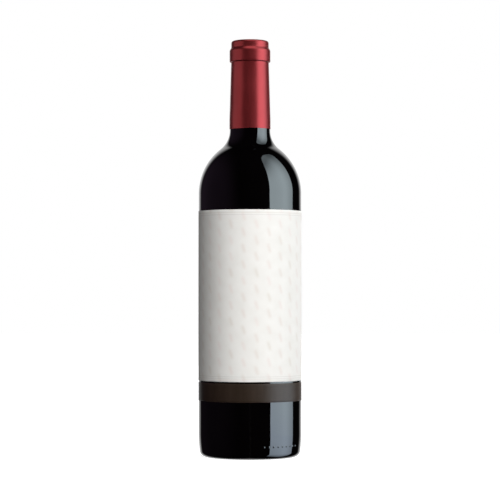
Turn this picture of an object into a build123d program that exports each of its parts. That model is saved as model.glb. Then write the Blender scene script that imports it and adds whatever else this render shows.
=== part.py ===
"""A corked and capsuled bottle of red wine, standing on its base.

Millimetres, +Z up. The origin is the middle of the resting ring, and the label
faces -Y. The dark glass can't be seen into, so the bottle is one solid with its
wine, and the capsule, the label and the band below it are skins on the outside.
"""
import os
from math import cos, radians, sin, sqrt

from build123d import *

# Glass, outside
BODY_RADIUS = 37.15
NECK_RADIUS = 14.65  # where the neck leaves the capsule
SHOULDER_RADIUS = 41.0  # rounded shoulder
THROAT_RADIUS = 17.0  # hollow curve from the shoulder into the neck
THROAT_TOP = 235.5  # height where that curve becomes the neck
TAPER_RADIUS = 105.0  # long arc that draws the body in above the heel
HEEL_RADIUS = 4.5

# Base
REST_OUTER = 31.8  # the flat ring that it stands on
REST_INNER = 28.5
PUNT_DEPTH = 19.0
PUNT_LIP_RADIUS = 2.5  # rounding from the resting ring into the punt
PUNT_CROWN_RADIUS = 13.0  # rounded top of the punt

# Moulded beads on the heel
BEAD_COUNT = 9
BEAD_FIRST_ANGLE = 15.8  # degrees round from the front, towards +X
BEAD_PITCH_ANGLE = 5.7
BEAD_HEIGHT = 9.0
BEAD_RADIUS = 0.65
BEAD_PROUD = 0.35

# Capsule over the neck: radii and heights are those of its outside
SKIN = 0.2
TOTAL_HEIGHT = 300.5
CAPSULE_FOOT = 236.5
CAPSULE_FOOT_RADIUS = NECK_RADIUS + SKIN
WAIST_HEIGHT = 243.0  # straight up to here, then tapering
TAPER_TOP_RADIUS = 13.62
RING_BOTTOM = 285.0
RING_TOP = 295.0
RING_RADIUS = 14.75
RING_EDGE = 0.7  # rounding of the ring's two edges
MOUTH_RADIUS = 13.55
MOUTH_EDGE = 1.7  # rounding of the top edge

# Paper
PAPER = 0.15
LABEL_BOTTOM = 55.1
LABEL_TOP = 177.0
BAND_BOTTOM = 40.6
BAND_TOP = 53.9
BACK_GAP = 24.0  # degrees left bare at the back, between the ends of the paper


def shoulder_centre():
    """Centre of the shoulder's arc: touches the body and meets the throat's arc."""
    across = NECK_RADIUS + THROAT_RADIUS - (BODY_RADIUS - SHOULDER_RADIUS)
    reach = SHOULDER_RADIUS + THROAT_RADIUS
    return BODY_RADIUS - SHOULDER_RADIUS, THROAT_TOP - sqrt(reach**2 - across**2)


def taper_centre():
    """Centre of the long arc above the heel: touches the body and the heel's arc."""
    across = REST_OUTER - (BODY_RADIUS - TAPER_RADIUS)
    reach = TAPER_RADIUS - HEEL_RADIUS
    return BODY_RADIUS - TAPER_RADIUS, HEEL_RADIUS + sqrt(reach**2 - across**2)


def point_towards(centre, target, distance):
    """The point at a distance from a centre, on the line to a target."""
    dx, dz = target[0] - centre[0], target[1] - centre[1]
    length = sqrt(dx**2 + dz**2)
    return centre[0] + dx * distance / length, centre[1] + dz * distance / length


def arc_between(centre, radius, start, end):
    """Short arc about a centre, from one of its points to another."""
    middle = ((start[0] + end[0]) / 2, (start[1] + end[1]) / 2)
    return ThreePointArc(start, point_towards(centre, middle, radius), end)


def turn(edges):
    """Turn a closed outline of (radius, height) edges about the bottle's axis."""
    outline = Plane.XZ * make_face(edges)
    return revolve(outline, Axis.Z, 360)


def body_edges():
    """The outside of the glass from the resting ring up to the foot of the capsule."""
    heel = (REST_OUTER, HEEL_RADIUS)
    taper = taper_centre()
    shoulder = shoulder_centre()
    throat = (NECK_RADIUS + THROAT_RADIUS, THROAT_TOP)
    heel_end = point_towards(taper, heel, TAPER_RADIUS)
    throat_start = point_towards(shoulder, throat, SHOULDER_RADIUS)
    body_foot = (BODY_RADIUS, taper[1])
    body_top = (BODY_RADIUS, shoulder[1])
    neck_foot = (NECK_RADIUS, THROAT_TOP)
    return [
        arc_between(heel, HEEL_RADIUS, (REST_OUTER, 0), heel_end),
        arc_between(taper, TAPER_RADIUS, heel_end, body_foot),
        Line(body_foot, body_top),
        arc_between(shoulder, SHOULDER_RADIUS, body_top, throat_start),
        arc_between(throat, THROAT_RADIUS, throat_start, neck_foot),
        Line(neck_foot, (NECK_RADIUS, CAPSULE_FOOT)),
    ]


def neck_edges(skin):
    """The neck, ring and mouth, a skin's thickness inside the capsule's outside.

    With a skin of 0 these are the capsule's own outside edges.
    """
    foot = CAPSULE_FOOT_RADIUS - skin
    ring = RING_RADIUS - skin
    mouth = MOUTH_RADIUS - skin
    under_ring = TAPER_TOP_RADIUS - skin
    top = TOTAL_HEIGHT - skin
    low = (ring - RING_EDGE, RING_BOTTOM + RING_EDGE)
    high = (ring - RING_EDGE, RING_TOP - RING_EDGE)
    corner = (mouth - MOUTH_EDGE, top - MOUTH_EDGE)
    return [
        Line((foot, CAPSULE_FOOT), (foot, WAIST_HEIGHT)),
        Line((foot, WAIST_HEIGHT), (under_ring, RING_BOTTOM)),
        Line((under_ring, RING_BOTTOM), (low[0], RING_BOTTOM)),
        arc_between(low, RING_EDGE, (low[0], RING_BOTTOM), (ring, low[1])),
        Line((ring, low[1]), (ring, high[1])),
        arc_between(high, RING_EDGE, (ring, high[1]), (high[0], RING_TOP)),
        Line((high[0], RING_TOP), (mouth, RING_TOP)),
        Line((mouth, RING_TOP), (mouth, corner[1])),
        arc_between(corner, MOUTH_EDGE, (mouth, corner[1]), (corner[0], top)),
        Line((corner[0], top), (0, top)),
    ]


def punt_edges():
    """The hollow under the base, from the top of its crown out to the resting ring."""
    lip = (REST_INNER, PUNT_LIP_RADIUS)
    crown = (0, PUNT_DEPTH - PUNT_CROWN_RADIUS)
    # The wall is a straight line that touches both circles from between them.
    dx, dz = lip[0] - crown[0], lip[1] - crown[1]
    apart = sqrt(dx**2 + dz**2)
    both = PUNT_CROWN_RADIUS + PUNT_LIP_RADIUS
    along = both / apart
    across = sqrt(1 - along**2)
    normal = (
        (dx * along - dz * across) / apart,
        (dz * along + dx * across) / apart,
    )
    crown_end = (
        crown[0] + PUNT_CROWN_RADIUS * normal[0],
        crown[1] + PUNT_CROWN_RADIUS * normal[1],
    )
    lip_start = (
        lip[0] - PUNT_LIP_RADIUS * normal[0],
        lip[1] - PUNT_LIP_RADIUS * normal[1],
    )
    return [
        arc_between(crown, PUNT_CROWN_RADIUS, (0, PUNT_DEPTH), crown_end),
        Line(crown_end, lip_start),
        arc_between(lip, PUNT_LIP_RADIUS, lip_start, (REST_INNER, 0)),
        Line((REST_INNER, 0), (REST_OUTER, 0)),
    ]


def heel_radius_at(height):
    """Radius of the glass on the long arc above the heel."""
    centre = taper_centre()
    return centre[0] + sqrt(TAPER_RADIUS**2 - (height - centre[1]) ** 2)


def beads():
    """A row of small raised dots moulded on the heel."""
    # A ball whose cap of BEAD_RADIUS across stands BEAD_PROUD out of the glass.
    ball = (BEAD_RADIUS**2 + BEAD_PROUD**2) / (2 * BEAD_PROUD)
    reach = heel_radius_at(BEAD_HEIGHT) + BEAD_PROUD - ball
    row = []
    for index in range(BEAD_COUNT):
        angle = radians(BEAD_FIRST_ANGLE + index * BEAD_PITCH_ANGLE)
        place = (reach * sin(angle), -reach * cos(angle), BEAD_HEIGHT)
        row.append(Pos(*place) * Sphere(ball))
    return row


def bottle():
    """Glass and wine as one solid, up to the mouth under the capsule."""
    top = TOTAL_HEIGHT - SKIN
    axis = Line((0, top), (0, PUNT_DEPTH))
    solid = turn(punt_edges() + body_edges() + neck_edges(SKIN) + [axis])
    for bead in beads():
        solid = solid + bead
    return solid


def capsule():
    """Thin sleeve pressed over the neck, ring and mouth, closed at the top."""
    outside = neck_edges(0)
    inside = neck_edges(SKIN)
    foot = Line((NECK_RADIUS, CAPSULE_FOOT), (CAPSULE_FOOT_RADIUS, CAPSULE_FOOT))
    top = Line((0, TOTAL_HEIGHT), (0, TOTAL_HEIGHT - SKIN))
    return turn(outside + inside + [foot, top])


def wrap(bottom, top):
    """A strip of paper glued round the body, its two ends apart at the back."""
    sheet = Plane.XZ * make_face(
        Polyline(
            (BODY_RADIUS, bottom),
            (BODY_RADIUS + PAPER, bottom),
            (BODY_RADIUS + PAPER, top),
            (BODY_RADIUS, top),
            (BODY_RADIUS, bottom),
        )
    )
    start = 90 + BACK_GAP / 2
    return revolve(Rot(0, 0, start) * sheet, Axis.Z, 360 - BACK_GAP)


def main():
    """Write one STEP file for each piece."""
    os.makedirs("parts", exist_ok=True)
    pieces = {
        "bottle": bottle(),
        "capsule": capsule(),
        "label": wrap(LABEL_BOTTOM, LABEL_TOP),
        "band": wrap(BAND_BOTTOM, BAND_TOP),
    }
    for name, piece in pieces.items():
        export_step(piece, f"parts/{name}.step")


main()
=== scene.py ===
from math import atan2, cos, degrees, exp, hypot, pi, radians, sin, sqrt

import bmesh
import bpy
import numpy as np
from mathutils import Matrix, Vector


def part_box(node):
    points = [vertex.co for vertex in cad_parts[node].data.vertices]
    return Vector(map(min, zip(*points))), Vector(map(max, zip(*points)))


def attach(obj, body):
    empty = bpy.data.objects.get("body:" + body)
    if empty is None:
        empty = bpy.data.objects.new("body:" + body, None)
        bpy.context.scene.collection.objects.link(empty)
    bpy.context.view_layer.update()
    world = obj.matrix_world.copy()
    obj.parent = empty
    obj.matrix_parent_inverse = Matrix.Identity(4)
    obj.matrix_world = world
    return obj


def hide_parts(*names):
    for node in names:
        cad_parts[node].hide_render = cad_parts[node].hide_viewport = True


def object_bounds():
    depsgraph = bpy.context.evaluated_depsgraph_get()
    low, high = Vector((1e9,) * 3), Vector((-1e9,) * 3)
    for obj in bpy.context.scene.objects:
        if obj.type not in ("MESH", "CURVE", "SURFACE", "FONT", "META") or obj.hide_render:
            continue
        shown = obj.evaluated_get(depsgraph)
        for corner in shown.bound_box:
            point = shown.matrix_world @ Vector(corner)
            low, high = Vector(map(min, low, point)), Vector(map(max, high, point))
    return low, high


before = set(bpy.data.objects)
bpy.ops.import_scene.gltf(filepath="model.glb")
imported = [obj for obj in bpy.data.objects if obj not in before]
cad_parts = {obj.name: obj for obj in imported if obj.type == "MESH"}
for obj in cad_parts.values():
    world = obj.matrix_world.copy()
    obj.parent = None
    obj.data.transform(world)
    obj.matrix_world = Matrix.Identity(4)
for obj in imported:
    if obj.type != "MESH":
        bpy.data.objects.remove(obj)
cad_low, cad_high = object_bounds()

MM = 0.001

# ---------------------------------------------------------------------------
# Glass bottle. Dark glass blown in a two-part mould, with a hollow punt, a
# round heel and shoulder, and a plain neck. It is full of red wine, so nothing
# shows through it and what is seen is the polish of a nearly black surface.
# ---------------------------------------------------------------------------
SKIN = 0.2 * MM  # the capsule's thickness
_, glass_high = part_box("bottle")
sleeve_low, sleeve_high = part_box("capsule")
BODY = glass_high.x
NECK = sleeve_high.x - SKIN
SHOULDER = 41.0 * MM
THROAT = 17.0 * MM
THROAT_TOP = 235.5 * MM
TAPER = 105.0 * MM
HEEL = 4.5 * MM
REST_OUTER = 31.8 * MM
REST_INNER = 28.5 * MM
PUNT_DEPTH = 19.0 * MM
PUNT_LIP = 2.5 * MM
PUNT_CROWN = 13.0 * MM
STIPPLE_DEPTH = 0.12 * MM  # the glass between the stipples stands this far off the table
SLEEVE_FOOT = sleeve_low.z
WAIST = 243.0 * MM
UNDER_RING = 13.62 * MM
RING = 14.75 * MM
RING_LOW = 285.0 * MM
RING_ROUND = 0.7 * MM
RING_SLOPE = (293.0 * MM, 295.9 * MM)
FOIL_FILLET = 0.4 * MM
MOUTH = 13.55 * MM
MOUTH_ROUND = 1.7 * MM
NECK_PLAY = 0.05 * MM  # between the capsule and the glass inside it
COLUMNS = 192
SEAM_ANGLES = (-80.0, 100.0)  # degrees round from the front, where the mould parted
SEAM_PROUD = 0.05 * MM
SEAM_WIDTH = 0.3 * MM
RIPPLE = 0.022 * MM  # unevenness of blown glass


def arc(centre, radius, start, end, steps):
    """Points along an arc of an outline; angles in degrees, 0 points outwards."""
    angles = np.radians(np.linspace(start, end, steps + 1))
    return [(centre[0] + radius * cos(a), centre[1] + radius * sin(a)) for a in angles]


def straight(start, end, steps):
    """Points along a straight stretch of an outline, without its first."""
    shares = np.linspace(0, 1, steps + 1)[1:]
    return [(start[0] + (end[0] - start[0]) * s, start[1] + (end[1] - start[1]) * s) for s in shares]


def solid_mesh(name, points, faces, sharp=50):
    """A smooth closed piece, with its faces turned outwards and its corners kept sharp."""
    mesh = bpy.data.meshes.new(name)
    mesh.from_pydata(points, [], faces)
    work = bmesh.new()
    work.from_mesh(mesh)
    bmesh.ops.remove_doubles(work, verts=work.verts, dist=1e-7)
    bmesh.ops.recalc_face_normals(work, faces=work.faces)
    work.to_mesh(mesh)
    work.free()
    mesh.polygons.foreach_set("use_smooth", [True] * len(mesh.polygons))
    mesh.set_sharp_from_angle(angle=radians(sharp))
    piece = bpy.data.objects.new(name, mesh)
    bpy.context.scene.collection.objects.link(piece)
    return piece


def turned(name, outline, angles, relief, sharp=50):
    """A closed piece turned from an outline that starts and ends on the axis.

    relief(radius, height, angle) gives how far a point moves out and up.
    """
    points, rings, faces = [], [], []
    for radius, height in outline:
        if radius < 1e-6:
            rings.append([len(points)])
            points.append((0, 0, height))
            continue
        rings.append(list(range(len(points), len(points) + len(angles))))
        for angle in angles:
            out, up = relief(radius, height, angle)
            reach = radius + out
            points.append((reach * sin(angle), -reach * cos(angle), height + up))
    for lower, upper in zip(rings[:-1], rings[1:]):
        for i in range(len(angles)):
            j = (i + 1) % len(angles)
            if len(lower) == 1:
                faces.append((lower[0], upper[i], upper[j]))
            elif len(upper) == 1:
                faces.append((lower[i], lower[j], upper[0]))
            else:
                faces.append((lower[i], lower[j], upper[j], upper[i]))
    return solid_mesh(name, points, faces, sharp)


def glass_outline(neck):
    """The glass from the crown of the punt to the throat, then the neck's own outline."""
    lip = (REST_INNER, PUNT_LIP)
    crown = (0, PUNT_DEPTH - PUNT_CROWN)
    apart = hypot(lip[0] - crown[0], lip[1] - crown[1])
    slope = degrees(np.arccos((PUNT_CROWN + PUNT_LIP) / apart) + atan2(lip[1] - crown[1], lip[0]))
    heel = (REST_OUTER, HEEL)
    across = REST_OUTER - (BODY - TAPER)
    taper = (BODY - TAPER, HEEL + sqrt((TAPER - HEEL) ** 2 - across**2))
    draw = -degrees(np.arccos(across / (TAPER - HEEL)))
    reach = SHOULDER + THROAT
    span = NECK + THROAT - (BODY - SHOULDER)
    shoulder = (BODY - SHOULDER, THROAT_TOP - sqrt(reach**2 - span**2))
    turn = degrees(np.arccos(span / reach))
    throat = (NECK + THROAT, THROAT_TOP)
    punt = arc(crown, PUNT_CROWN, 90, slope, 14)
    hollow = arc(lip, PUNT_LIP, 180 + slope, 270, 10)
    foot = arc(heel, HEEL, -90, draw, 24)
    outline = punt + straight(punt[-1], hollow[0], 12) + hollow + foot
    outline = [(r, max(z, STIPPLE_DEPTH)) for r, z in outline]
    outline += arc(taper, TAPER, draw, 0, 10)
    outline += straight(outline[-1], (BODY, shoulder[1]), 60)
    outline += arc(shoulder, SHOULDER, 0, turn, 48)
    outline += arc(throat, THROAT, 180 + turn, 180, 20)
    return outline + neck, taper


def neck_outline(skin):
    """The neck, ring and mouth, a skin's thickness inside the capsule's outside."""
    foot = (sleeve_high.x - skin, SLEEVE_FOOT)
    waist = (foot[0], WAIST)
    under = (UNDER_RING - skin, RING_LOW - FOIL_FILLET)
    ring = RING - skin
    mouth = MOUTH - skin
    top = cad_high.z - skin
    low = (ring - RING_ROUND, RING_LOW + RING_ROUND)
    corner = (mouth - MOUTH_ROUND, top - MOUTH_ROUND)
    fillet = (under[0] + FOIL_FILLET, under[1])
    outline = [foot] + straight(foot, waist, 8) + straight(waist, under, 44)
    outline += arc(fillet, FOIL_FILLET, 180, 90, 5)
    outline += arc(low, RING_ROUND, -90, 0, 6)
    outline += straight((ring, low[1]), (ring, RING_SLOPE[0]), 10)
    for share in np.linspace(0, 1, 11)[1:]:
        ease = share * share * (3 - 2 * share)
        height = RING_SLOPE[0] + (RING_SLOPE[1] - RING_SLOPE[0]) * share
        outline.append((ring + (mouth - ring) * ease, height))
    outline += straight((mouth, RING_SLOPE[1]), (mouth, corner[1]), 4)
    return outline + arc(corner, MOUTH_ROUND, 0, 90, 8)


def seam_columns():
    """Angles of the mesh's columns, with extra ones across the two mould seams."""
    angles = [2 * pi * i / COLUMNS for i in range(COLUMNS)]
    for seam in SEAM_ANGLES:
        middle = radians(seam) % (2 * pi)
        angles = [a for a in angles if abs(a - middle) * BODY > 3 * SEAM_WIDTH]
        angles += [middle + s * SEAM_WIDTH / BODY for s in (-2.4, -1.2, -0.6, 0, 0.6, 1.2, 2.4)]
    return sorted(angles)


def glass_relief(radius, height, angle):
    """Slow ripples of blown glass, and the two seams where the mould parted."""
    if height < 3 * MM or height > SLEEVE_FOOT:
        return 0, 0
    fade = min(1, (height - 3 * MM) / (12 * MM), (SLEEVE_FOOT - height) / (8 * MM))
    wave = sin(5 * angle + 61 * height) + 0.7 * sin(9 * angle - 143 * height + 1.3)
    wave += 0.5 * sin(14 * angle + 235 * height + 4.0) + 0.6 * sin(3 * angle - 310 * height + 2.2)
    out = RIPPLE * fade * wave / 2
    for seam in SEAM_ANGLES:
        off = ((angle - radians(seam) + pi) % (2 * pi) - pi) * BODY
        out += SEAM_PROUD * fade * exp(-((off / SEAM_WIDTH) ** 2))
    return out, 0


glass_neck = neck_outline(SKIN + NECK_PLAY)
outline, taper_centre = glass_outline(glass_neck + [(0, glass_neck[-1][1])])
glass = turned("glass_bottle", outline, seam_columns(), glass_relief)


def new_finish(name):
    """A new material with nodes: the material, its tree and its shader."""
    material = bpy.data.materials.new(name)
    material.use_nodes = True
    return material, material.node_tree, material.node_tree.nodes["Principled BSDF"]


def add(tree, kind, inputs, **settings):
    """Add a node, then fill its inputs with values or with other nodes' outputs."""
    node = tree.nodes.new(kind)
    for key, value in settings.items():
        setattr(node, key, value)
    for key, value in inputs.items():
        if isinstance(value, bpy.types.NodeSocket):
            tree.links.new(value, node.inputs[key])
        else:
            node.inputs[key].default_value = value
    return node


def maths(tree, operation, *values):
    """The result of a calculation on numbers or outputs."""
    inputs = dict(enumerate(values))
    return add(tree, "ShaderNodeMath", inputs, operation=operation).outputs[0]


def stretched(tree, scale):
    """The piece's own coordinates, in metres, scaled along each axis."""
    place = add(tree, "ShaderNodeTexCoord", {}).outputs["Object"]
    return add(tree, "ShaderNodeMapping", {"Vector": place, "Scale": scale}).outputs[0]


def noise(tree, scale, detail):
    """Noise whose grain is 1 / scale metres along each axis."""
    inputs = {"Vector": stretched(tree, scale), "Scale": 1.0, "Detail": detail}
    return add(tree, "ShaderNodeTexNoise", inputs).outputs["Fac"]


def spread(tree, value, low, high):
    """A noise value mapped from its usual range onto low to high."""
    inputs = {"Value": value, "From Min": 0.3, "From Max": 0.7, "To Min": low, "To Max": high}
    return add(tree, "ShaderNodeMapRange", inputs).outputs[0]


def shade_between(tree, value, dark, light):
    """A colour between two, by a value from 0 to 1."""
    inputs = {"Factor": value, 6: (*dark, 1), 7: (*light, 1)}
    return add(tree, "ShaderNodeMix", inputs, data_type="RGBA").outputs[2]


def bump(tree, height, strength, distance, under=None):
    """A bumped normal from a height, on top of another one if given."""
    inputs = {"Height": height, "Strength": strength, "Distance": distance}
    if under is not None:
        inputs["Normal"] = under
    return add(tree, "ShaderNodeBump", inputs).outputs[0]


# Bottle glass: close to black, with the last of its colour a purple brown, and
# polished by the fire but a little smudged by handling.
glass_finish, tree, shader = new_finish("dark_bottle_glass")
smudge = noise(tree, (60, 60, 35), detail=4)
tree.links.new(
    shade_between(tree, spread(tree, smudge, 0, 1), (0.0005, 0.0003, 0.0004), (0.0012, 0.0008, 0.0010)),
    shader.inputs["Base Color"],
)
tree.links.new(spread(tree, smudge, 0.025, 0.05), shader.inputs["Roughness"])
tree.links.new(bump(tree, noise(tree, (130, 130, 90), detail=2), 0.06, 0.05 * MM), shader.inputs["Normal"])
shader.inputs["IOR"].default_value = 1.52
glass.data.materials.append(glass_finish)
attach(glass, "root")
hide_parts("bottle")

# ---------------------------------------------------------------------------
# Beads on the heel. A short row of round dots of glass, moulded in one with
# the bottle: each is a low dome that runs out into the wall round it.
# ---------------------------------------------------------------------------
BEAD_COUNT = 9
BEAD_FIRST = 15.8  # degrees round from the front
BEAD_PITCH = 5.7
BEAD_HEIGHT = 9.0 * MM
BEAD_SPREAD = 0.42 * MM  # the dome's steepness
BEAD_RIM = 1.1 * MM
BEAD_PROUD = 0.35 * MM
BEAD_ROOT = 0.35 * MM  # how far its flat back lies inside the glass


def dome(points, faces, place, ahead, side, up, rim, root, heights):
    """Add a closed low dome: its rings run from the rim to the top, and its back is flat."""
    steps, turns = len(heights), 20
    first = len(points)
    rings = [(rim, -root)] + [(rim * (1 - i / steps), heights[i]) for i in range(steps)]
    for reach, rise in rings:
        for turn in range(turns):
            a = 2 * pi * turn / turns
            points.append(place + side * reach * cos(a) + up * reach * sin(a) + ahead * rise)
    points.append(place + ahead * heights[-1])
    top = len(points) - 1
    for ring in range(len(rings) - 1):
        for turn in range(turns):
            a, b = first + ring * turns + turn, first + ring * turns + (turn + 1) % turns
            faces.append((a, b, b + turns, a + turns))
    last = first + (len(rings) - 1) * turns
    faces.extend((last + turn, last + (turn + 1) % turns, top) for turn in range(turns))
    faces.append(tuple(reversed(range(first, first + turns))))


bead_points, bead_faces = [], []
wall = taper_centre[0] + sqrt(TAPER**2 - (BEAD_HEIGHT - taper_centre[1]) ** 2)
lean = np.arcsin((taper_centre[1] - BEAD_HEIGHT) / TAPER)
for index in range(BEAD_COUNT):
    a = radians(BEAD_FIRST + index * BEAD_PITCH)
    round_wall = np.array((sin(a), -cos(a), 0.0))
    ahead = round_wall * cos(lean) - np.array((0, 0, sin(lean)))
    side = np.array((cos(a), sin(a), 0.0))
    heights = [BEAD_PROUD * exp(-((BEAD_RIM * (1 - i / 10) / BEAD_SPREAD) ** 2)) for i in range(10)]
    heights = [h - 0.01 * MM for h in heights]
    place = round_wall * wall + np.array((0, 0, BEAD_HEIGHT))
    dome(bead_points, bead_faces, place, ahead, side, np.cross(side, ahead), BEAD_RIM, BEAD_ROOT, heights)
beads = solid_mesh("heel_beads", bead_points, bead_faces)
beads.data.materials.append(glass_finish)
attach(beads, "root")

# ---------------------------------------------------------------------------
# Stippling under the base. Short bars of glass, moulded across the resting
# ring, that the bottle stands on: they keep the ring itself from scratches.
# ---------------------------------------------------------------------------
BAR_COUNT = 84
BAR_REACH = 2.3 * MM
BAR_WIDTH = 0.75 * MM
BAR_MIDDLE = 30.4 * MM
BAR_SUNK = 0.03 * MM  # its rim lies this far inside the glass
BAR_BACK = 0.4 * MM  # and its flat back this far
BAR_ROWS = 9
BAR_COLUMNS = 7

bar_points, bar_faces = [], []
for index in range(BAR_COUNT):
    a = 2 * pi * index / BAR_COUNT
    first = len(bar_points)
    rows, cols = BAR_ROWS, BAR_COLUMNS
    for row in range(rows):
        along = -1 + 2 * row / (rows - 1)
        for col in range(cols):
            over = -1 + 2 * col / (cols - 1)
            swell = max(0.0, 1 - along**2) ** 0.5 * max(0.0, 1 - over**2) ** 0.5
            reach = BAR_MIDDLE + along * BAR_REACH
            angle = a + over * BAR_WIDTH / BAR_MIDDLE * (1 - 0.25 * along**2)
            heel_rise = HEEL - sqrt(HEEL**2 - max(0.0, reach - REST_OUTER) ** 2)
            lip_rise = PUNT_LIP - sqrt(PUNT_LIP**2 - max(0.0, REST_INNER - reach) ** 2)
            surface = max(STIPPLE_DEPTH, heel_rise, lip_rise) + BAR_SUNK
            height = surface - (STIPPLE_DEPTH + BAR_SUNK) * swell
            bar_points.append((reach * sin(angle), -reach * cos(angle), height))
    grid = [[first + row * cols + col for col in range(cols)] for row in range(rows)]
    for row in range(rows - 1):
        for col in range(cols - 1):
            near, far = grid[row], grid[row + 1]
            bar_faces.append((near[col], near[col + 1], far[col + 1], far[col]))
    edge = grid[0] + [r[-1] for r in grid[1:]] + grid[-1][-2::-1] + [r[0] for r in grid[-2:0:-1]]
    back = len(bar_points)
    for v in edge:
        x, y, z = bar_points[v]
        bar_points.append((x, y, z + BAR_BACK))
    for i in range(len(edge)):
        j = (i + 1) % len(edge)
        bar_faces.append((edge[i], back + i, back + j, edge[j]))
    bar_faces.append(tuple(back + i for i in range(len(edge))))
bars = solid_mesh("base_stipples", bar_points, bar_faces)
bars.data.materials.append(glass_finish)
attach(bars, "root")

# ---------------------------------------------------------------------------
# Capsule. A thin metal sleeve in translucent red lacquer, drawn over the cork
# and neck and rolled tight, so that it takes the shape of the ring and mouth
# and shows shallow dents and faint draw lines where the rollers pressed it.
# ---------------------------------------------------------------------------
CAPSULE_COLUMNS = 160
DISH = 0.2 * MM  # the top disc lies this far below its rim
UNDER_DISC = 0.03 * MM  # thickness left under the dish
FOOT_SWAY = 0.14 * MM  # unevenness of its cut lower edge
DENTS = (  # degrees round, height, half width in degrees, half height, depth
    (-2, 253.0 * MM, 13, 7.5 * MM, 0.21 * MM),
    (10, 264.0 * MM, 26, 4.0 * MM, -0.08 * MM),
    (-62, 253.5 * MM, 30, 3.0 * MM, 0.12 * MM),
    (-40, 247.0 * MM, 40, 3.5 * MM, -0.05 * MM),
    (55, 250.0 * MM, 30, 4.0 * MM, 0.07 * MM),
    (150, 258.0 * MM, 35, 6.0 * MM, 0.10 * MM),
    (205, 249.0 * MM, 28, 4.0 * MM, 0.08 * MM),
    (25, 289.0 * MM, 22, 2.4 * MM, 0.03 * MM),
)


def capsule_relief(radius, height, angle):
    """Shallow dents, faint upright flutes, and a lower edge that isn't cut quite level."""
    if radius < MOUTH * 0.97:
        return 0, 0
    out = 0.0
    for turn, middle, wide, tall, depth in DENTS:
        off = (degrees(angle) - turn + 180) % 360 - 180
        out -= depth * exp(-((off / wide) ** 2) - ((height - middle) / tall) ** 2)
    grip = exp(-(((height - WAIST) / (14 * MM)) ** 2))
    out += 0.008 * MM * grip * sin(17 * angle + 2 * sin(3 * angle))
    near = max(0.0, 1 - (height - SLEEVE_FOOT) / (3 * MM))
    sway = sin(angle - 0.9) + 0.5 * sin(3 * angle + 1.1) + 0.3 * sin(7 * angle)
    return out, FOOT_SWAY * near * near * sway


outside = neck_outline(0)
inside = neck_outline(SKIN)
top = cad_high.z
rim = outside[-1][0]
dish = [
    (rim - 0.6 * MM, top),
    (rim - 1.2 * MM, top - 0.04 * MM),
    (rim - 1.8 * MM, top - 0.16 * MM),
    (rim - 2.4 * MM, top - DISH),
    (rim * 0.5, top - DISH),
]
ceiling = inside[-1][1] - UNDER_DISC
sleeve = [(0, ceiling), (rim * 0.6, ceiling)]
sleeve += [(r, min(z, ceiling)) for r, z in reversed(inside)]
sleeve += outside + dish + [(0, top - DISH)]
capsule_angles = [2 * pi * i / CAPSULE_COLUMNS for i in range(CAPSULE_COLUMNS)]
capsule = turned("neck_capsule", sleeve, capsule_angles, capsule_relief, sharp=60)

capsule_finish, tree, shader = new_finish("red_lacquered_foil")
draw = noise(tree, (900, 900, 18), detail=3)
cloud = noise(tree, (70, 70, 40), detail=4)
grain = noise(tree, (2600, 2600, 2600), detail=2)
tint = shade_between(tree, spread(tree, cloud, 0, 1), (0.170, 0.0160, 0.0180), (0.205, 0.0210, 0.0235))
tree.links.new(tint, shader.inputs["Base Color"])
shader.inputs["Metallic"].default_value = 0.7
shader.inputs["Specular Tint"].default_value = (0.75, 0.55, 0.55, 1)
rough = maths(tree, "ADD", spread(tree, draw, 0.33, 0.38), spread(tree, cloud, -0.02, 0.02))
tree.links.new(rough, shader.inputs["Roughness"])
brushed = bump(tree, draw, 0.12, 0.02 * MM)
tree.links.new(bump(tree, grain, 0.10, 0.01 * MM, brushed), shader.inputs["Normal"])
capsule.data.materials.append(capsule_finish)
capsule.visible_glossy = False  # its image would show as a spot on the shoulder
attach(capsule, "root")
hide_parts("capsule")

# ---------------------------------------------------------------------------
# Label. One sheet of soft white uncoated paper, glued round the body with its
# two ends a little apart at the back. It has a pair of fine rules near its top
# and bottom edges and an all-over print of faint slanted strokes.
# ---------------------------------------------------------------------------
PAPER = 0.15 * MM
PAPER_EDGE = 0.04 * MM  # rounding of a cut edge
BACK_GAP = 24.0  # degrees left bare at the back
RULES = (2.15 * MM, 3.6 * MM)  # how far the fine rules lie inside the edge
RULE_WIDTH = 0.32 * MM
RULE_DEPTH = 0.02 * MM
PAPER_WAVE = 0.012 * MM  # how unevenly the glue lets it lie
GLUE = 0.02 * MM  # how far its back lies inside the glass
SHEET_COLUMNS = 225


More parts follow.
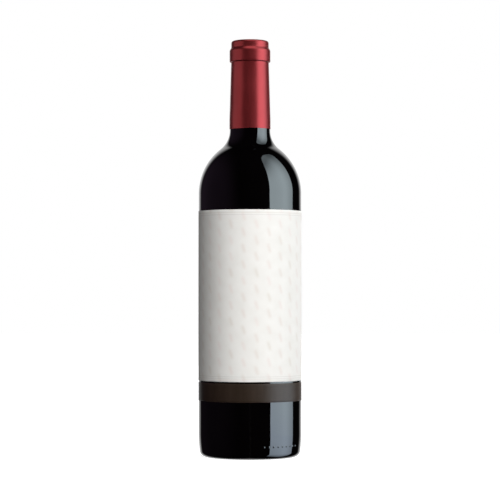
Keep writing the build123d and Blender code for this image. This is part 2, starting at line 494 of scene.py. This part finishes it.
def wrapped_sheet(name, low, high, step, rules=()):
    """A sheet with thickness, bent round the body, from one end at the back to the other."""
    inner, outer = BODY - GLUE, BODY + PAPER
    rows = max(4, round((high - low) / step))
    heights = list(np.linspace(low + PAPER_EDGE, high - PAPER_EDGE, rows))
    for rule in rules:
        for edge, sign in ((low, 1), (high, -1)):
            middle = edge + sign * rule
            heights = [z for z in heights if abs(z - middle) > RULE_WIDTH]
            heights += [middle + s * RULE_WIDTH for s in (-0.75, -0.5, -0.25, 0, 0.25, 0.5, 0.75)]
    heights = sorted(heights)
    middles = [low + rule for rule in rules] + [high - rule for rule in rules]
    section = [(inner, low), (outer - PAPER_EDGE, low)]
    section += [(outer, z) for z in heights]
    section += [(outer - PAPER_EDGE, high), (inner, high)]
    half = 180 - BACK_GAP / 2
    turns = np.radians(np.linspace(-half, half, SHEET_COLUMNS))
    points, faces = [], []
    for a in turns:
        for r, z in section:
            out = 0.0
            if r == outer:
                out = PAPER_WAVE * (sin(7 * a + 95 * z) + sin(11 * a - 160 * z + 1) - 2) / 2
                for middle in middles:
                    out -= RULE_DEPTH * exp(-(((z - middle) / (0.5 * RULE_WIDTH)) ** 2))
            points.append(((r + out) * sin(a), -(r + out) * cos(a), z))
    count = len(section)
    for i in range(len(turns) - 1):
        for k in range(count):
            n = (k + 1) % count
            faces.append((i * count + k, i * count + n, (i + 1) * count + n, (i + 1) * count + k))
    last = (len(turns) - 1) * count
    faces.append(tuple(range(count)))
    faces.append(tuple(reversed(range(last, last + count))))
    return solid_mesh(name, points, faces)


label_low, label_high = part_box("label")
label = wrapped_sheet("paper_label", label_low.z, label_high.z, 2 * MM, RULES)

STROKE_COLUMN = 9.2 * MM
STROKE_ROW = 11.5 * MM
STROKE_LENGTH = 3.4 * MM  # half its length
STROKE_WIDTH = 1.35 * MM  # half its width
STROKE_SLANT = 17.0  # degrees off upright, leaning to the left at the top


def slanted_strokes(tree):
    """How much print is at a point, and a random number for its stroke."""
    place = add(tree, "ShaderNodeTexCoord", {}).outputs["Object"]
    x, y, z = add(tree, "ShaderNodeSeparateXYZ", {0: place}).outputs
    turn = maths(tree, "ARCTAN2", x, maths(tree, "MULTIPLY", y, -1.0))
    along = maths(tree, "MULTIPLY", turn, BODY / STROKE_COLUMN)
    column = maths(tree, "FLOOR", along)
    drop = maths(tree, "MULTIPLY", maths(tree, "MODULO", maths(tree, "ABSOLUTE", column), 2.0), 0.5)
    up = maths(tree, "ADD", maths(tree, "DIVIDE", z, STROKE_ROW), drop)
    row = maths(tree, "FLOOR", up)
    off_column = maths(tree, "SUBTRACT", maths(tree, "FRACT", along), 0.5)
    across = maths(tree, "MULTIPLY", off_column, STROKE_COLUMN)
    off_row = maths(tree, "SUBTRACT", maths(tree, "FRACT", up), 0.5)
    rise = maths(tree, "MULTIPLY", off_row, STROKE_ROW)
    lean = radians(STROKE_SLANT)
    across_part = maths(tree, "MULTIPLY", across, cos(lean))
    side = maths(tree, "ADD", across_part, maths(tree, "MULTIPLY", rise, sin(lean)))
    rise_part = maths(tree, "MULTIPLY", rise, cos(lean))
    length = maths(tree, "SUBTRACT", rise_part, maths(tree, "MULTIPLY", across, sin(lean)))
    wide = maths(tree, "POWER", maths(tree, "DIVIDE", side, STROKE_WIDTH), 2.0)
    tall = maths(tree, "POWER", maths(tree, "ABSOLUTE", maths(tree, "DIVIDE", length, STROKE_LENGTH)), 4.0)
    ink = maths(tree, "EXPONENT", maths(tree, "MULTIPLY", maths(tree, "ADD", wide, tall), -1.0))
    cell = add(tree, "ShaderNodeCombineXYZ", {0: column, 1: row}).outputs[0]
    chance = add(tree, "ShaderNodeTexWhiteNoise", {"Vector": cell}).outputs["Value"]
    return ink, chance, z


def ruled(tree, z, edges):
    """1 on the fine rules near the sheet's two edges, and 0 elsewhere."""
    total = 0.0
    for middle in edges:
        off = maths(tree, "DIVIDE", maths(tree, "SUBTRACT", z, middle), 0.5 * RULE_WIDTH)
        line = maths(tree, "EXPONENT", maths(tree, "MULTIPLY", maths(tree, "POWER", off, 2.0), -1.0))
        total = maths(tree, "ADD", line, total)
    return total


label_finish, tree, shader = new_finish("white_uncoated_paper")
ink, chance, z = slanted_strokes(tree)
fibre = noise(tree, (1400, 1400, 2200), detail=4)
pulp = noise(tree, (120, 120, 120), detail=3)
paper_white = shade_between(tree, spread(tree, pulp, 0, 1), (0.840, 0.824, 0.790), (0.874, 0.860, 0.830))
ink_tint = shade_between(tree, chance, (0.80, 0.65, 0.62), (0.74, 0.70, 0.64))
strength = maths(tree, "MULTIPLY", ink, maths(tree, "ADD", maths(tree, "MULTIPLY", chance, 0.36), 0.22))
printed = add(tree, "ShaderNodeMix", {"Factor": strength, 6: paper_white, 7: ink_tint}, data_type="RGBA")
edges = [label_low.z + rule for rule in RULES] + [label_high.z - rule for rule in RULES]
rule_strength = maths(tree, "MULTIPLY", ruled(tree, z, edges), 0.55)
lined = {"Factor": rule_strength, 6: printed.outputs[2], 7: (0.60, 0.57, 0.54, 1)}
tree.links.new(add(tree, "ShaderNodeMix", lined, data_type="RGBA").outputs[2], shader.inputs["Base Color"])
tree.links.new(spread(tree, fibre, 0.62, 0.75), shader.inputs["Roughness"])
tree.links.new(bump(tree, fibre, 0.25, 0.03 * MM), shader.inputs["Normal"])
shader.inputs["Specular IOR Level"].default_value = 0.2
label.data.materials.append(label_finish)
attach(label, "root")
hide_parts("label")

# ---------------------------------------------------------------------------
# Band. A narrow strip of the same paper, printed dark brown with a satin
# varnish and glued round the body just under the label.
# ---------------------------------------------------------------------------
band_low, band_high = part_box("band")
band = wrapped_sheet("dark_band", band_low.z, band_high.z, 1.5 * MM)
band_finish, tree, shader = new_finish("brown_printed_paper")
press = noise(tree, (260, 260, 60), detail=4)
grain = noise(tree, (1500, 1500, 1500), detail=3)
brown = shade_between(tree, spread(tree, press, 0, 1), (0.024, 0.0148, 0.0096), (0.031, 0.0196, 0.0134))
tree.links.new(brown, shader.inputs["Base Color"])
tree.links.new(spread(tree, grain, 0.38, 0.44), shader.inputs["Roughness"])
tree.links.new(bump(tree, grain, 0.12, 0.02 * MM), shader.inputs["Normal"])
shader.inputs["Specular IOR Level"].default_value = 0.2
band.data.materials.append(band_finish)
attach(band, "root")
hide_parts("band")

# ---------------------------------------------------------------------------
# Studio floor. A plain white sweep that shows its soft shadow, with its white glow painted dimmer close to
# the bottle as a painted shade round it.
# It doesn't show in the glass, and from below it lets the base of the bottle be seen.
# ---------------------------------------------------------------------------
FLOOR_HALF = 4.0
floor_mesh = bpy.data.meshes.new("floor")
corners = [(-FLOOR_HALF, -FLOOR_HALF, 0), (FLOOR_HALF, -FLOOR_HALF, 0), (FLOOR_HALF, FLOOR_HALF, 0)]
floor_mesh.from_pydata(corners + [(-FLOOR_HALF, FLOOR_HALF, 0)], [], [(0, 1, 2, 3)])
floor = bpy.data.objects.new("floor", floor_mesh)
bpy.context.scene.collection.objects.link(floor)
floor.visible_glossy = False
floor.visible_diffuse = False
floor_finish, tree, shader = new_finish("white_floor")
tree.nodes.remove(shader)
place = add(tree, "ShaderNodeTexCoord", {}).outputs["Object"]
reach = add(tree, "ShaderNodeVectorMath", {0: place}, operation="LENGTH").outputs["Value"]
# The floor's white glow is painted dimmer within 0.4 m of the bottle, a painted shade round its foot, and
# it is full white further out.
fade = {"Value": reach, "From Min": 0.1, "From Max": 0.4, "To Min": 0.86, "To Max": 1.05}
fade = add(tree, "ShaderNodeMapRange", fade, interpolation_type="SMOOTHSTEP").outputs[0]
glow = add(tree, "ShaderNodeEmission", {"Color": (1, 1, 1, 1), "Strength": fade})
matt = add(tree, "ShaderNodeBsdfDiffuse", {"Color": (0.8, 0.8, 0.8, 1)})
above = add(tree, "ShaderNodeAddShader", {0: glow.outputs[0], 1: matt.outputs[0]})
below = add(tree, "ShaderNodeBsdfTransparent", {})
side = add(tree, "ShaderNodeNewGeometry", {}).outputs["Backfacing"]
both = add(tree, "ShaderNodeMixShader", {0: side, 1: above.outputs[0], 2: below.outputs[0]})
tree.links.new(both.outputs[0], tree.nodes["Material Output"].inputs["Surface"])
floor_mesh.materials.append(floor_finish)

# ---------------------------------------------------------------------------
# Tall soft box to the right. It is what the glass, the capsule and the band
# mirror: a sheet of bright cloth, dimmer towards its top and its far edge.
# ---------------------------------------------------------------------------
BOX_X = 1.2
BOX_OUTLINE = (  # depth and height of its corners, as shares of its distance
    (-0.97, -1.40), (0.36, -1.40), (0.36, 0.50), (0.43, 1.20), (0.52, 1.70),
    (0.47, 2.05), (0.22, 2.50), (-0.02, 2.85), (-0.45, 3.00), (-0.72, 2.60),
    (-0.93, 1.86), (-1.02, 0.90), (-1.02, 0.04), (-0.96, -0.08),
)
BOX_STRENGTH = 5.6
box_mesh = bpy.data.meshes.new("soft_box")
box_corners = [(BOX_X, y * BOX_X, z * BOX_X) for y, z in BOX_OUTLINE]
box_mesh.from_pydata(box_corners, [], [tuple(range(len(box_corners)))])
soft_box = bpy.data.objects.new("soft_box", box_mesh)
bpy.context.scene.collection.objects.link(soft_box)
soft_box.visible_camera = False
soft_box.visible_diffuse = False
soft_box.visible_shadow = False
box_finish, tree, shader = new_finish("soft_box_cloth")
tree.nodes.remove(shader)
place = add(tree, "ShaderNodeTexCoord", {}).outputs["Object"]
_, depth, height = add(tree, "ShaderNodeSeparateXYZ", {0: place}).outputs
rise = {"Value": height, "From Min": 0.5 * BOX_X, "From Max": 2.1 * BOX_X, "To Min": 1.0, "To Max": 0.28}
rise = add(tree, "ShaderNodeMapRange", rise, interpolation_type="SMOOTHSTEP").outputs[0]
away = {"Value": depth, "From Min": -0.2 * BOX_X, "From Max": 0.42 * BOX_X, "To Min": 1.0, "To Max": 0.45}
away = add(tree, "ShaderNodeMapRange", away, interpolation_type="SMOOTHSTEP").outputs[0]
foot = {"Value": height, "From Min": -1.3 * BOX_X, "From Max": -0.15 * BOX_X, "To Min": 0.25, "To Max": 1.0}
foot = add(tree, "ShaderNodeMapRange", foot).outputs[0]
power = maths(tree, "MULTIPLY", maths(tree, "MULTIPLY", rise, away), foot)
power = maths(tree, "MULTIPLY", power, BOX_STRENGTH)
cool = {"Value": height, "From Min": -0.08 * BOX_X, "From Max": 0.03 * BOX_X}
cool = add(tree, "ShaderNodeMapRange", cool).outputs[0]
tone = shade_between(tree, cool, (0.745, 0.885, 1.05), (0.92, 1.08, 1.15))
cloth = add(tree, "ShaderNodeEmission", {"Color": tone, "Strength": power})
tree.links.new(cloth.outputs[0], tree.nodes["Material Output"].inputs["Surface"])
box_mesh.materials.append(box_finish)

# ---------------------------------------------------------------------------
# Lamps. Broad lamps light the paper and the lacquer but don't show in the
# glass: a key at the front right, one behind on the right, a weak one at the
# back and the front left, and two that graze only the capsule, left and above.
# ---------------------------------------------------------------------------
middle = (cad_low + cad_high) / 2


def lamp(name, turn, rise, distance, width, height, level):
    """A soft lamp that gives a white matt surface that faces it this level of brightness."""
    light = bpy.data.lights.new(name, "AREA")
    light.shape = "RECTANGLE"
    light.size = width
    light.size_y = height
    light.energy = level * pi**2 * distance**2
    holder = bpy.data.objects.new(name, light)
    bpy.context.scene.collection.objects.link(holder)
    a, e = radians(turn), radians(rise)
    aim = middle.copy()
    aim.x += distance * cos(e) * sin(a)
    aim.y -= distance * cos(e) * cos(a)
    aim.z += distance * sin(e)
    holder.location = aim
    holder.rotation_euler = (middle - aim).to_track_quat("-Z", "Y").to_euler()
    holder.visible_camera = False
    return holder


ROOM_LAMPS = (  # name, degrees round, degrees up, distance, width, height, level
    ("key", 29, 14, 1.6, 1.5, 1.2, 1.21),
    ("front_left", -38, 8, 1.6, 1.0, 1.2, 0.19),
    ("rear_right", 137, 10, 1.6, 1.1, 1.2, 0.80),
    ("rear_left", -160, 12, 1.6, 1.0, 1.2, 0.12),
)
CAPSULE_LAMPS = (
    ("capsule_graze", -80, 8, 1.2, 1.7, 1.2, 0.53),
    ("capsule_top", 8, 70, 1.2, 0.9, 0.9, 0.5),
)
for row in ROOM_LAMPS:
    lamp(*row).visible_glossy = False
only_capsule = bpy.data.collections.new("capsule_only")
only_capsule.objects.link(capsule)
for row in CAPSULE_LAMPS:
    holder = lamp(*row)
    holder.visible_diffuse = False
    holder.light_linking.receiver_collection = only_capsule

# ---------------------------------------------------------------------------
# Surroundings. White to the eye. What the glass mirrors is a white backdrop
# straight behind, a dim purplish wall on the left, and darkness elsewhere.
# ---------------------------------------------------------------------------
world = bpy.data.worlds.new("studio")
bpy.context.scene.world = world
world.use_nodes = True
tree = world.node_tree
tree.nodes.clear()
direction = add(tree, "ShaderNodeTexCoord", {}).outputs["Generated"]
dx, dy, dz = add(tree, "ShaderNodeSeparateXYZ", {0: direction}).outputs


def eased(value, start, end, low, high):
    """A value that runs smoothly from low at start to high at end."""
    inputs = {"Value": value, "From Min": start, "From Max": end, "To Min": low, "To Max": high}
    return add(tree, "ShaderNodeMapRange", inputs, interpolation_type="SMOOTHSTEP").outputs[0]


back = maths(tree, "MAXIMUM", dy, 0.001)
off_side = maths(tree, "DIVIDE", maths(tree, "ABSOLUTE", dx), back)
off_top = maths(tree, "DIVIDE", dz, back)
backdrop = maths(tree, "MULTIPLY", eased(off_side, 0.38, 0.80, 1, 0), eased(off_top, 0.85, 1.5, 1, 0))
backdrop = maths(tree, "MULTIPLY", backdrop, 1.15)
left = eased(dx, -0.35, -0.95, 0.0, 1.0)
left = maths(tree, "MULTIPLY", left, eased(dz, -0.06, 0.06, 0.3, 1.0))
wall_glow = add(tree, "ShaderNodeMix", {0: left, 6: (0.004, 0.004, 0.004, 1), 7: (0.085, 0.058, 0.09, 1)},
                data_type="RGBA").outputs[2]
both = {0: 1.0, 6: wall_glow, 7: backdrop}
mirrored = add(tree, "ShaderNodeMix", both, data_type="RGBA", blend_type="ADD")
rays = add(tree, "ShaderNodeLightPath", {})
seen = add(tree, "ShaderNodeMix", {0: rays.outputs["Is Glossy Ray"], 6: (0.05, 0.05, 0.05, 1),
                                   7: mirrored.outputs[2]}, data_type="RGBA").outputs[2]
seen = add(tree, "ShaderNodeMix", {0: rays.outputs["Is Camera Ray"], 6: seen, 7: (1, 1, 1, 1)},
           data_type="RGBA").outputs[2]
background = add(tree, "ShaderNodeBackground", {"Color": seen, "Strength": 1.0})
add(tree, "ShaderNodeOutputWorld", {"Surface": background.outputs[0]})

# ---------------------------------------------------------------------------
# Camera. A long lens on a low stand, level with the lower part of the label,
# and tipped up just enough to bring the bottle to the middle.
# ---------------------------------------------------------------------------
EYE = 0.120
DISTANCE = 1.45
AIM = 0.149
camera_data = bpy.data.cameras.new("camera")
camera_data.lens = 144.25
camera_data.sensor_width = 36
camera = bpy.data.objects.new("camera", camera_data)
bpy.context.scene.collection.objects.link(camera)
camera.location = (0, -DISTANCE, EYE)
camera.rotation_euler = (pi / 2 + atan2(AIM - EYE, DISTANCE), 0, 0)
bpy.context.scene.camera = camera
bpy.context.scene.view_settings.view_transform = "Standard"
